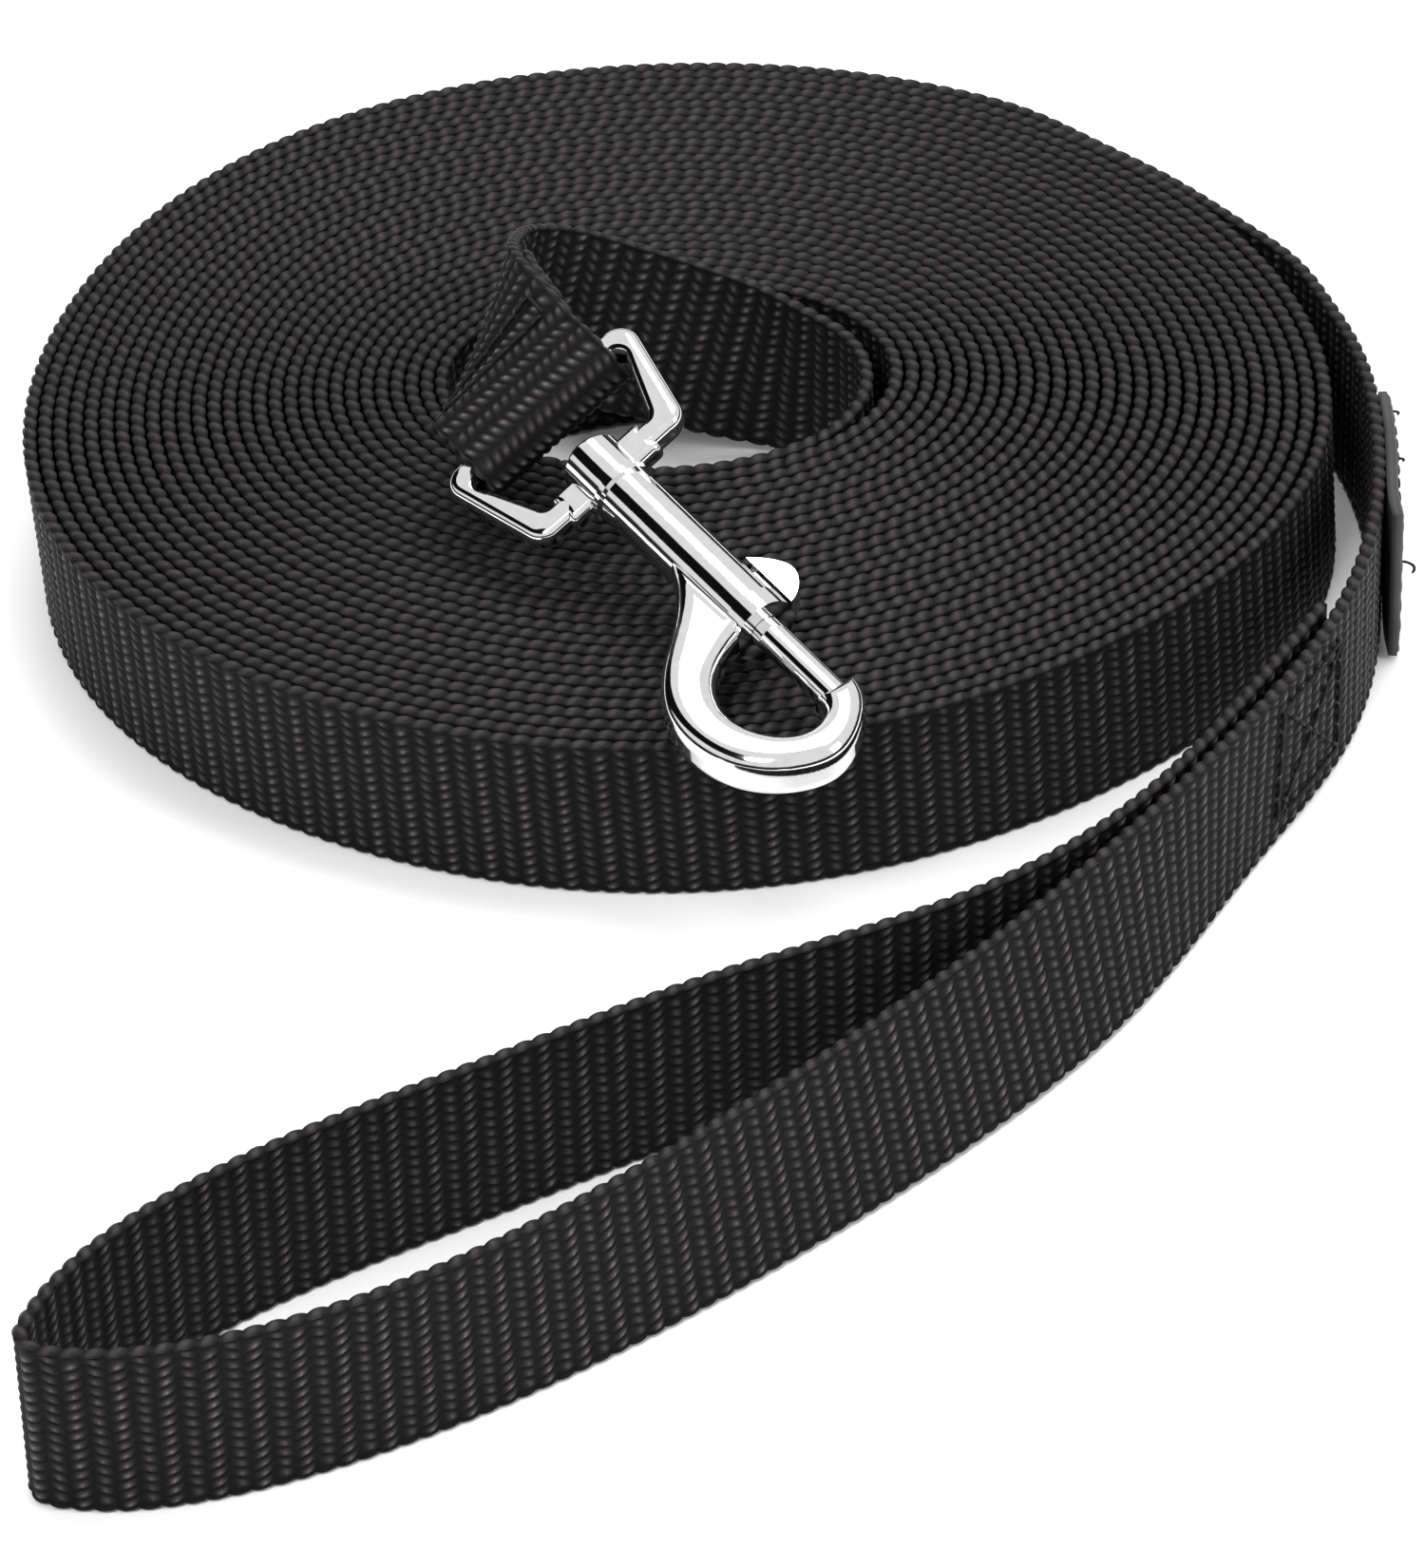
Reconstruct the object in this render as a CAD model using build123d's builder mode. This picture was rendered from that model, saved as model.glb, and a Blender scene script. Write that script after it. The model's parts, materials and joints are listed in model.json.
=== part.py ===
from build123d import *
import math
import os

# A long flat-webbing training leash, wound on edge into a flat coil, with a sewn hand
# loop on its outer end and a swivel bolt snap on its inner end.  Millimetres, +Z up,
# origin at the centre of the footprint, on the surface that the coil lies on.

# ---------------------------------------------------------------- webbing
WEB_WIDTH = 20.0
WEB_THICK = 1.6
HALF_THICK = WEB_THICK / 2

# ---------------------------------------------------------------- coil
COIL_X = -3.4
COIL_Y = 48.2
COIL_OUTLINE = [
    (73.2, -2.0),
    (66.4, 24.2),
    (40.7, 53.6),
    (15.4, 67.6),
    (-18.8, 68.4),
    (-46.0, 56.0),
    (-66.5, 29.0),
    (-72.9, -4.0),
    (-62.6, -39.6),
    (-40.3, -60.4),
    (-3.0, -70.9),
    (34.0, -62.6),
    (60.6, -40.2),
]
HOLE_X = -1.2
HOLE_Y = 1.5
HOLE_RADIUS_X = 24.5
HOLE_RADIUS_Y = 19.3

# ---------------------------------------------------------------- hand loop
FOOT_LIFT = 0.05
PLY_GAP = 1.75
BOX_STITCH_LENGTH = 15.0
BOX_STITCH_HEIGHT = 14.0
THREAD = 0.5
THREAD_PROUD = 0.3
CUT_END_SETBACK = 1.5
STITCH_GAP = 0.25

# ---------------------------------------------------------------- label patch
LABEL_POINTS = [(78.65, -6.4), (78.68, -18.1), (77.15, -30.8)]
SEAM_POINTS = [(79.4, -8.0), (79.35, -18.1), (78.1, -29.3)]
LABEL_HEIGHT = 18.6
LABEL_THICK = 1.1
LABEL_SEAM_INSET = 1.6

# ---------------------------------------------------------------- snap pose
BOSS_X = -8.0
BOSS_Y = -36.6
BOSS_HEIGHT = 31.0
SNAP_DIRECTION = -55.4
SNAP_SLOPE = 8.6
EYE_ROLL = 29.2
HOOK_ROLL = 8.0

# ---------------------------------------------------------------- swivel eye
BAR_OFFSET = 12.6
BAR_HALF = 12.4
CROSS_HALF = 9.0
EYE_ROD = 3.2
EYE_CORNER = 2.6
EYE_EDGE = 1.25
CROSS_STEP_HALF = 6.4
CROSS_DEPTH = 4.6
CROSS_CORNER = 0.6
BOSS_RADIUS = 3.6
BOSS_BACK = -3.0
BOSS_FRONT = 2.6
BOSS_BORE = 1.56

# ---------------------------------------------------------------- rivet and washer
RIVET_RADIUS = 1.5
RIVET_HEAD_RADIUS = 2.6
RIVET_HEAD_BACK = -4.5
RIVET_HEAD_FRONT = -3.1
RIVET_HEAD_EDGE = 0.9
WASHER_RADIUS = 3.9
WASHER_BACK = 2.75

# ---------------------------------------------------------------- barrel and bolt
BARREL_RADIUS = 3.5
BARREL_BACK = 3.5
BARREL_FRONT = 29.0
COLLAR_RADIUS = 3.8
COLLAR_LENGTH = 2.6
BORE_RADIUS = 1.9
BORE_BACK = 5.5
BORE_RUN_OUT = 1.0
BOLT_RADIUS = 1.82
BOLT_BACK = 17.5
BOLT_TIP = 42.8
BOLT_TIP_EDGE = 0.6
PLUG_THICK = 1.0
PLUG_CLEARANCE = 0.02
SLOT_BACK = 13.2
SLOT_FRONT = 27.0
SLOT_WIDTH = 2.3
STEM_WIDTH = 2.0
STEM_BACK = 22.2
STEM_FRONT = 26.7
STEM_GRIP = 0.05
KNOB_BASE = 3.9
KNOB_OUTLINE = [
    (20.2, KNOB_BASE),
    (22.2, 5.95),
    (24.5, 6.95),
    (26.8, 6.05),
    (28.4, KNOB_BASE),
]
KNOB_HALF_THICK = 1.5

# ---------------------------------------------------------------- spring
SPRING_WIRE = 0.4
SPRING_MEAN_RADIUS = 1.55
SPRING_TURNS = 5.0

# ---------------------------------------------------------------- hook
HOOK_HALF_THICK = 2.9
HOOK_EDGE = 2.1
RECESS_RADIUS = 1.95
RECESS_END = 43.3
RECESS_START = 36.0

# ---------------------------------------------------------------- webbing round the bar
LOOP_MIDDLE = 2.95
LOOP_HALF_WIDTH = 9.6
LOOP_BACK = 7.0
LOOP_BACK_UPPER = 2.3
LOOP_BACK_LOWER = 0.55
LOOP_WRAP = 209.4
SEAM_SETBACK = 1.7
SEAM_LENGTH = 3.0
SEAM_HEIGHT = 15.0
SEAM_GAP = 0.1


def place(x, y, z=0.0):
    """A point given from the coil's centre, in the part's own frame."""
    return Vector(COIL_X + x, COIL_Y + y, z)


def save(piece, name):
    piece.part.label = name
    export_step(piece.part, f"parts/{name}.step")


def strip_planes(tops, bottoms):
    """Planes across a strip of webbing that passes through its edge points."""
    middles = [(top + bottom) * 0.5 for top, bottom in zip(tops, bottoms)]
    planes = []
    for index, middle in enumerate(middles):
        before = middles[max(index - 1, 0)]
        after = middles[min(index + 1, len(middles) - 1)]
        width_way = (tops[index] - bottoms[index]).normalized()
        face_way = (after - before).cross(width_way).normalized()
        travel = width_way.cross(face_way)
        planes.append(Plane(origin=middle, x_dir=width_way, z_dir=travel))
    return planes


os.makedirs("parts", exist_ok=True)

# ================================================================ coil
# The turns lie against each other on edge, so the wound stretch is one closed solid
# with the real open middle.
with BuildPart() as webbing_coil:
    with BuildSketch(Plane(origin=place(0, 0))):
        with BuildLine():
            Spline(*COIL_OUTLINE, periodic=True)
        make_face()
        with Locations((HOLE_X, HOLE_Y)):
            Ellipse(HOLE_RADIUS_X, HOLE_RADIUS_Y, mode=Mode.SUBTRACT)
    extrude(amount=WEB_WIDTH)
save(webbing_coil, "webbing_coil")

# ================================================================ lead
# Centre line of the stretch that leaves the coil at its back right and passes down its
# right side to the sewn joint of the hand loop.
LEAD_POINTS = [
    (41.6, 54.9),
    (49.6, 48.2),
    (57.7, 39.5),
    (65.5, 29.0),
    (70.8, 20.8),
    (73.8, 12.2),
    (75.8, 4.5),
    (77.2, -6.0),
    (77.1, -18.0),
    (75.6, -31.0),
]
LEAD_END = (70.95, -47.5)
with BuildPart() as webbing_lead:
    with BuildSketch(Plane(origin=place(0, 0))):
        with BuildLine():
            Spline(*LEAD_POINTS, LEAD_END)
        trace(line_width=WEB_THICK)
    extrude(amount=WEB_WIDTH)
save(webbing_lead, "webbing_lead")

# ================================================================ hand loop
# The outer leg stands on its lower edge and leans outwards at the bottom; the tight
# end bend and the inner leg stand upright.  The inner leg's cut end lies on the inner
# face of the joint.
OUTER_LEG_TOP = [
    (70.7, -48.1),
    (61.0, -66.0),
    (41.0, -93.0),
    (14.6, -121.6),
    (-10.2, -144.0),
    (-34.2, -159.8),
    (-51.0, -165.4),
]
OUTER_LEG_FOOT = [
    (70.7, -48.1),
    (60.0, -67.6),
    (43.6, -95.8),
    (17.4, -124.0),
    (-8.8, -144.9),
    (-34.2, -159.8),
    (-51.0, -165.4),
]
BEND_START = (-62.6, -165.4)
BEND_RADIUS = 3.0
BEND_TURN = -117.0
INNER_LEG = [
    (-50.5, -141.4),
    (-22.0, -123.5),
    (2.4, -110.2),
    (27.4, -98.6),
    (42.4, -87.2),
    (58.6, -65.4),
]
JOINT_TOP = OUTER_LEG_TOP[0]
joint_far = Vector(*OUTER_LEG_TOP[1])
joint_along = (Vector(*JOINT_TOP) - joint_far).normalized()
joint_inward = Vector(-joint_along.Y, joint_along.X)
cut_end = Vector(*JOINT_TOP) + joint_inward * PLY_GAP - joint_along * CUT_END_SETBACK

outer_tops = [place(x, y, WEB_WIDTH) for x, y in OUTER_LEG_TOP]
outer_feet = [place(x, y, FOOT_LIFT) for x, y in OUTER_LEG_FOOT]
leg_end = Vector(*OUTER_LEG_TOP[-1])
leg_tangent = (leg_end - Vector(*OUTER_LEG_TOP[-2])).normalized()

with BuildPart() as handle_loop:
    for section_plane in strip_planes(outer_tops, outer_feet):
        with BuildSketch(section_plane):
            Rectangle(WEB_WIDTH, WEB_THICK)
    loft()
    with BuildSketch(Plane(origin=place(0, 0))):
        with BuildLine():
            Spline(leg_end, BEND_START, tangents=(leg_tangent, (-1, 0)))
            bend = JernArc(
                start=BEND_START, tangent=(-1, 0), radius=BEND_RADIUS, arc_size=BEND_TURN
            )
            Spline(
                bend @ 1,
                *INNER_LEG,
                (cut_end.X, cut_end.Y),
                tangents=(bend % 1, joint_along),
            )
        trace(line_width=WEB_THICK)
    extrude(amount=WEB_WIDTH)
save(handle_loop, "handle_loop")

# ================================================================ joint stitching
# A sewn box with a cross through both plies, standing a little proud of the outer face.
joint_middle = (Vector(*JOINT_TOP) + joint_far) * 0.5
stitch_origin = joint_middle - joint_inward * (HALF_THICK + STITCH_GAP)
joint_plane = Plane(
    origin=place(stitch_origin.X, stitch_origin.Y, WEB_WIDTH / 2),
    x_dir=(joint_along.X, joint_along.Y, 0),
    z_dir=(-joint_inward.X, -joint_inward.Y, 0),
)
half_box = (BOX_STITCH_LENGTH / 2, BOX_STITCH_HEIGHT / 2)
with BuildPart() as handle_stitching:
    with BuildSketch(joint_plane):
        Rectangle(BOX_STITCH_LENGTH, BOX_STITCH_HEIGHT)
        Rectangle(BOX_STITCH_LENGTH - 2 * THREAD, BOX_STITCH_HEIGHT - 2 * THREAD, mode=Mode.SUBTRACT)
        with BuildLine():
            Line((-half_box[0], -half_box[1]), half_box)
        trace(line_width=THREAD)
        with BuildLine():
            Line((-half_box[0], half_box[1]), (half_box[0], -half_box[1]))
        trace(line_width=THREAD)
    extrude(amount=THREAD_PROUD)
save(handle_stitching, "handle_stitching")

# ================================================================ label patch
with BuildPart() as label_patch:
    with BuildSketch(Plane(origin=place(0, 0, (WEB_WIDTH - LABEL_HEIGHT) / 2))):
        with BuildLine() as label_line:
            Spline(*LABEL_POINTS)
        trace(line_width=LABEL_THICK)
    extrude(amount=LABEL_HEIGHT)
save(label_patch, "label_patch")

# The seam runs round the patch just inside its edges, on its outer face.
seam_low = (WEB_WIDTH - LABEL_HEIGHT) / 2 + LABEL_SEAM_INSET
seam_high = WEB_WIDTH - seam_low
with BuildPart() as label_stitching:
    for height in (seam_low, seam_high - THREAD):
        with BuildSketch(Plane(origin=place(0, 0, height))):
            with BuildLine():
                Spline(*SEAM_POINTS)
            trace(line_width=THREAD_PROUD)
        extrude(amount=THREAD)
    for end, other in ((SEAM_POINTS[0], SEAM_POINTS[1]), (SEAM_POINTS[2], SEAM_POINTS[1])):
        end_way = (Vector(*other) - Vector(*end)).normalized()
        with BuildSketch(Plane(origin=place(0, 0, seam_low))):
            with BuildLine():
                Line(Vector(*end), Vector(*end) + end_way * THREAD)
            trace(line_width=THREAD_PROUD)
        extrude(amount=seam_high - seam_low)
save(label_stitching, "label_stitching")

# ================================================================ snap frames
# along: from the swivel boss to the hook.  across: level, to the knob's side.
slope = math.radians(SNAP_SLOPE)
heading = math.radians(SNAP_DIRECTION)
along = Vector(
    math.cos(slope) * math.cos(heading),
    math.cos(slope) * math.sin(heading),
    -math.sin(slope),
)
across = Vector(0, 0, 1).cross(along).normalized()
above = along.cross(across)
boss_centre = place(BOSS_X, BOSS_Y, BOSS_HEIGHT)


def rolled(angle):
    """The direction above the snap, turned about its long axis."""
    turn = math.radians(angle)
    return above * math.cos(turn) - across * math.sin(turn)


eye_plane = Plane(origin=boss_centre, x_dir=along, z_dir=rolled(EYE_ROLL))
hook_plane = Plane(origin=boss_centre, x_dir=along, z_dir=rolled(HOOK_ROLL))
bar_direction = eye_plane.y_dir
bar_above = eye_plane.z_dir
bar_centre = boss_centre - along * BAR_OFFSET


def ring_plane(distance, base=hook_plane):
    """A plane square to the snap's long axis, a distance along it from the boss."""
    return Plane(origin=boss_centre + along * distance, x_dir=base.y_dir, z_dir=along)


# ================================================================ swivel eye
bar_x = -BAR_OFFSET
rod_half = EYE_ROD / 2
with BuildPart() as swivel_eye:
    with BuildSketch(eye_plane.offset(-rod_half)):
        with BuildLine():
            FilletPolyline(
                (bar_x - rod_half, BAR_HALF + rod_half),
                (rod_half, CROSS_HALF + rod_half),
                (rod_half, -CROSS_HALF - rod_half),
                (bar_x - rod_half, -BAR_HALF - rod_half),
                radius=EYE_CORNER,
                close=True,
            )
        make_face()
        with BuildLine():
            FilletPolyline(
                (bar_x + rod_half, BAR_HALF - rod_half),
                (-rod_half, CROSS_HALF - rod_half),
                (-rod_half, -CROSS_HALF + rod_half),
                (bar_x + rod_half, -BAR_HALF + rod_half),
                radius=EYE_CORNER - rod_half,
                close=True,
            )
        make_face(mode=Mode.SUBTRACT)
    extrude(amount=EYE_ROD)
    with BuildSketch(eye_plane.offset(-rod_half)):
        with BuildLine():
            FilletPolyline(
                (-CROSS_DEPTH / 2, CROSS_STEP_HALF),
                (-CROSS_DEPTH / 2, -CROSS_STEP_HALF),
                (CROSS_DEPTH / 2, -CROSS_STEP_HALF),
                (CROSS_DEPTH / 2, CROSS_STEP_HALF),
                radius=CROSS_CORNER,
                close=True,
            )
        make_face()
    extrude(amount=EYE_ROD)
    flat_faces = faces().filter_by(Axis(boss_centre, bar_above))
    fillet(flat_faces.edges(), radius=EYE_EDGE)
    with BuildSketch(ring_plane(BOSS_BACK, eye_plane)):
        Circle(BOSS_RADIUS)
    extrude(amount=BOSS_FRONT - BOSS_BACK)
    with BuildSketch(ring_plane(BOSS_BACK, eye_plane)):
        Circle(BOSS_BORE)
    extrude(amount=BOSS_FRONT - BOSS_BACK, mode=Mode.SUBTRACT)
save(swivel_eye, "swivel_eye")

# ================================================================ rivet and washer
with BuildPart() as swivel_rivet:
    with BuildSketch(ring_plane(RIVET_HEAD_FRONT)):
        Circle(RIVET_RADIUS)
    extrude(amount=BORE_BACK - RIVET_HEAD_FRONT)
    with BuildSketch(ring_plane(RIVET_HEAD_BACK)):
        Circle(RIVET_HEAD_RADIUS)
    extrude(amount=RIVET_HEAD_FRONT - RIVET_HEAD_BACK)
    head_edge = edges().filter_by(GeomType.CIRCLE).sort_by(Axis(boss_centre, along))[0]
    fillet(head_edge, radius=RIVET_HEAD_EDGE)
save(swivel_rivet, "swivel_rivet")

with BuildPart() as swivel_washer:
    with BuildSketch(ring_plane(WASHER_BACK)):
        Circle(WASHER_RADIUS)
        Circle(RIVET_RADIUS, mode=Mode.SUBTRACT)
    extrude(amount=BARREL_BACK - WASHER_BACK)
save(swivel_washer, "swivel_washer")

# ================================================================ barrel and hook
HOOK_OUTLINE = [
    (14.0, -2.6),
    (18.6, -4.3),
    (22.4, -7.0),
    (28.4, -13.0),
    (33.0, -15.9),
    (39.0, -16.6),
    (44.6, -14.6),
    (48.6, -10.0),
    (49.6, -5.4),
    (47.2, -0.6),
    (44.4, 1.8),
    (41.4, 2.6),
]
WINDOW_OUTLINE = [
    (41.4, -2.5),
    (44.0, -3.6),
    (44.7, -6.2),
    (42.0, -9.8),
    (37.8, -11.0),
    (33.2, -9.4),
    (30.0, -5.6),
    (28.6, -2.2),
]
with BuildPart() as snap_body:
    with BuildSketch(hook_plane.offset(-HOOK_HALF_THICK)):
        with BuildLine():
            Spline(*HOOK_OUTLINE)
            Line(HOOK_OUTLINE[-1], WINDOW_OUTLINE[0])
            Spline(*WINDOW_OUTLINE)
            Line(WINDOW_OUTLINE[-1], HOOK_OUTLINE[0])
        make_face()
    extrude(amount=2 * HOOK_HALF_THICK)
    hook_faces = faces().filter_by(Axis(boss_centre, hook_plane.z_dir))
    fillet(hook_faces.edges(), radius=HOOK_EDGE)
    with BuildSketch(ring_plane(BARREL_BACK)):
        Circle(BARREL_RADIUS)
    extrude(amount=BARREL_FRONT - BARREL_BACK)
    with BuildSketch(ring_plane(BARREL_FRONT - COLLAR_LENGTH)):
        Circle(COLLAR_RADIUS)
    extrude(amount=COLLAR_LENGTH)
    with BuildSketch(ring_plane(BORE_BACK)):
        Circle(BORE_RADIUS)
    extrude(amount=BARREL_FRONT - BORE_BACK + BORE_RUN_OUT, mode=Mode.SUBTRACT)
    with BuildSketch(ring_plane(BARREL_BACK)):
        Circle(RIVET_RADIUS)
    extrude(amount=BORE_BACK - BARREL_BACK, mode=Mode.SUBTRACT)
    with BuildSketch(ring_plane(RECESS_START)):
        Circle(RECESS_RADIUS)
    extrude(amount=RECESS_END - RECESS_START, mode=Mode.SUBTRACT)
    with BuildSketch(hook_plane.offset(-SLOT_WIDTH / 2)):
        with Locations(((SLOT_BACK + SLOT_FRONT) / 2, BARREL_RADIUS)):
            Rectangle(SLOT_FRONT - SLOT_BACK, 2 * BARREL_RADIUS)
    extrude(amount=SLOT_WIDTH, mode=Mode.SUBTRACT)
save(snap_body, "snap_body")

with BuildPart() as spring_plug:
    with BuildSketch(ring_plane(BORE_BACK)):
        Circle(BORE_RADIUS - PLUG_CLEARANCE)
    extrude(amount=PLUG_THICK)
save(spring_plug, "spring_plug")

# ================================================================ bolt, knob, spring
with BuildPart() as bolt_pin:
    with BuildSketch(ring_plane(BOLT_BACK)):
        Circle(BOLT_RADIUS)
    extrude(amount=BOLT_TIP - BOLT_BACK)
    tip_edge = edges().filter_by(GeomType.CIRCLE).sort_by(Axis(boss_centre, along))[-1]
    fillet(tip_edge, radius=BOLT_TIP_EDGE)
save(bolt_pin, "bolt_pin")

with BuildPart() as thumb_knob:
    with BuildSketch(hook_plane.offset(-KNOB_HALF_THICK)):
        with BuildLine():
            Line(KNOB_OUTLINE[-1], KNOB_OUTLINE[0])
            Spline(*KNOB_OUTLINE)
        make_face()
    extrude(amount=2 * KNOB_HALF_THICK)
    with BuildSketch(hook_plane.offset(-STEM_WIDTH / 2)):
        with Locations(((STEM_BACK + STEM_FRONT) / 2, KNOB_BASE)):
            Rectangle(STEM_FRONT - STEM_BACK, 2 * (KNOB_BASE - BOLT_RADIUS + STEM_GRIP))
    extrude(amount=STEM_WIDTH)
    with BuildSketch(ring_plane(STEM_BACK)):
        Circle(BOLT_RADIUS)
    extrude(amount=STEM_FRONT - STEM_BACK, mode=Mode.SUBTRACT)
save(thumb_knob, "thumb_knob")

spring_back = BORE_BACK + PLUG_THICK
spring_length = BOLT_BACK - spring_back
spring_pitch = (spring_length - SPRING_WIRE) / SPRING_TURNS
spring_base = ring_plane(spring_back + SPRING_WIRE / 2)
with BuildPart() as bolt_spring:
    with BuildLine(spring_base) as coil_line:
        Helix(
            pitch=spring_pitch,
            height=spring_length - SPRING_WIRE,
            radius=SPRING_MEAN_RADIUS,
            direction=along,
        )
    with BuildSketch(Plane(origin=coil_line.wire() @ 0, z_dir=coil_line.wire() % 0)):
        Circle(SPRING_WIRE / 2)
    sweep()
save(bolt_spring, "bolt_spring")

# ================================================================ inner end
# The inner end leaves the hole's wall at the front right, stands round its right side,
# then leans and rises along the back wall, turns over at the left and comes forward,
# underside up, to the strap bar.  Each station is a top-edge and a bottom-edge point.
STATIONS = [
    ((16.2, -10.9, 20.0), (16.2, -10.9, 0.0)),
    ((20.9, -2.0, 20.0), (20.9, -2.0, 0.0)),
    ((19.6, 7.0, 20.0), (19.6, 7.0, 0.0)),
    ((15.2, 12.0, 20.4), (14.9, 12.4, 0.5)),
    ((8.1, 17.2, 21.7), (3.2, 13.8, 3.1)),
    ((-5.7, 18.4, 26.9), (-11.4, 11.3, 9.3)),
    ((-15.2, 12.9, 32.8), (-20.4, 4.9, 15.2)),
    ((-17.2, 3.9, 37.5), (-21.3, -4.2, 19.6)),
    ((-17.5, -5.8, 41.6), (-24.2, -12.8, 24.2)),
    ((-16.1, -11.5, 42.4), (-25.6, -18.0, 26.7)),
]


def bar_point(forward, up, side=0.0):
    """A point given from the strap bar's centre, in the eye's directions."""
    return bar_centre + along * forward + bar_above * up + bar_direction * side


loop_top = bar_point(-LOOP_BACK, LOOP_BACK_UPPER, LOOP_HALF_WIDTH)
loop_bottom = bar_point(-LOOP_BACK, LOOP_BACK_UPPER, -LOOP_HALF_WIDTH)
tops = [place(*top) for top, bottom in STATIONS] + [loop_top]
bottoms = [place(*bottom) for top, bottom in STATIONS] + [loop_bottom]
with BuildPart() as snap_end_webbing:
    for section_plane in strip_planes(tops, bottoms):
        with BuildSketch(section_plane):
            Rectangle(2 * LOOP_HALF_WIDTH, WEB_THICK)
    loft()
save(snap_end_webbing, "snap_end_webbing")

# The turn round the bar: an upper layer that carries on from the strip and a lower
# layer that runs back under it to the cut end.
loop_plane = Plane(
    origin=bar_point(0, 0, -LOOP_HALF_WIDTH), x_dir=along, z_dir=-bar_direction
)
with BuildPart() as snap_end_loop:
    with BuildSketch(loop_plane):
        with BuildLine():
            Line((-LOOP_BACK, LOOP_BACK_UPPER), (0, LOOP_MIDDLE))
            turn = CenterArc((0, 0), LOOP_MIDDLE, 90, -LOOP_WRAP)
            Line(turn @ 1, (-LOOP_BACK, LOOP_BACK_LOWER))
        trace(line_width=WEB_THICK)
    extrude(amount=-2 * LOOP_HALF_WIDTH)
save(snap_end_loop, "snap_end_loop")

# A narrow sewn box across both layers just behind the bar, on the outer face.
seam_at = strip_planes(tops, bottoms)[-1]
seam_face = seam_at.y_dir if seam_at.y_dir.Z > 0 else -seam_at.y_dir
seam_plane = Plane(
    origin=seam_at.origin - seam_at.z_dir * SEAM_SETBACK + seam_face * (HALF_THICK + SEAM_GAP),
    x_dir=seam_at.z_dir,
    z_dir=seam_face,
)
with BuildPart() as snap_end_stitching:
    with BuildSketch(seam_plane):
        Rectangle(SEAM_LENGTH, SEAM_HEIGHT)
        Rectangle(SEAM_LENGTH - 2 * THREAD, SEAM_HEIGHT - 2 * THREAD, mode=Mode.SUBTRACT)
    extrude(amount=THREAD_PROUD)
save(snap_end_stitching, "snap_end_stitching")
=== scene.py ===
import bpy
import json
import math
import numpy as np
from mathutils import Matrix, Vector


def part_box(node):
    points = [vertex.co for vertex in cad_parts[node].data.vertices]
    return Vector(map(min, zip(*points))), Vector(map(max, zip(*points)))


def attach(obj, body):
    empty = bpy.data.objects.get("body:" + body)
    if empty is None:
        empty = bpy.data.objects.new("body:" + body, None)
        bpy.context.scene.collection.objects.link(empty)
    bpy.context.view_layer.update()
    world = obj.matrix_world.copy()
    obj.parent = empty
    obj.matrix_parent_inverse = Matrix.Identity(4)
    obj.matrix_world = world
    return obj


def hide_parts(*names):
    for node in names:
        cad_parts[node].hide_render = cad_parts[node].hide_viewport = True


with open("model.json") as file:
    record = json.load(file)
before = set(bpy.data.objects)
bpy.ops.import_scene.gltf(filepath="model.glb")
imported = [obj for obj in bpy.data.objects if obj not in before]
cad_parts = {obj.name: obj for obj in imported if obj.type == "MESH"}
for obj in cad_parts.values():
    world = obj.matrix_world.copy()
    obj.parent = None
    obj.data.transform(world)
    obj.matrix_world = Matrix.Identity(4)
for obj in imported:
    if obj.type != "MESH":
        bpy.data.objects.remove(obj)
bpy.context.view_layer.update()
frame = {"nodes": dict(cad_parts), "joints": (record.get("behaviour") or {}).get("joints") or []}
MM = 0.001

# ---------------------------------------------------------------- webbing sizes, mm
WIDTH = 20.0
HALF_THICK = 0.8
RIB = 2.17

# Weave: mesh rows to a rib, yarn beads across the width, the height of each layer, and the painted shade
# level of the plain faces.
FINE_ROWS = 6
PLAIN_ROWS = 4
BEADS = 15
BEAD_PROFILE = (0.0, 0.80, 1.0, 0.80)
BEAD_SLANT = 0.62
CORE = 0.42
RELIEF = 0.37
SURFACE = CORE + RELIEF + 0.02
PLAIN_HEIGHT = 0.6
PLAIN_SHADE = 0.3
FLOOR_LIFT = 0.02

# Corded edge: how far it stands out, how thick it is, its twist, and its painted shade and highlight.
EDGE_INSET = 0.75
EDGE_ANGLES = (25, 65, 90, 115, 155)
EDGE_START = 0.12
EDGE_REACH = 0.63
EDGE_THICK = 0.45
EDGE_TWIST = 0.34
EDGE_WAIST = 0.42
EDGE_PAINTED_SHADE = 0.10
EDGE_PAINTED_HIGHLIGHT = 0.62

# The turn round the strap bar and the layer laid back under it.
LOOP_RADIUS = 2.95
LOOP_DEGREES = (75, 40, 5, -30, -65, -100, -119)
LAYER_GAP = 1.62
LAYER_GAP_AT_BAR = 1.8
BAR_SHARE = 0.49
BAR_APPROACH = ((-6.0, 2.55), (-2.6, 2.95))
CUT_END_STEPS = (5.0, 9.0, 13.0, 17.0, 21.0)

COIL_SHIFT = (-0.15, 0.4)
lo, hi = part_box("webbing_coil")
COIL = np.array([(lo.x + hi.x) / 2 / MM + COIL_SHIFT[0], (lo.y + hi.y) / 2 / MM + COIL_SHIFT[1], 0.0])
JOINTS = {j["name"]: j for j in frame["joints"]}
BAR = np.array(JOINTS["eye_tilt"]["pos_m"]) / MM
BAR_WAY = -np.array(JOINTS["eye_tilt"]["axis"])
BOSS = np.array(JOINTS["swivel"]["pos_m"]) / MM
ALONG = -np.array(JOINTS["swivel"]["axis"])
BAR_UP = np.cross(ALONG, BAR_WAY)


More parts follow.
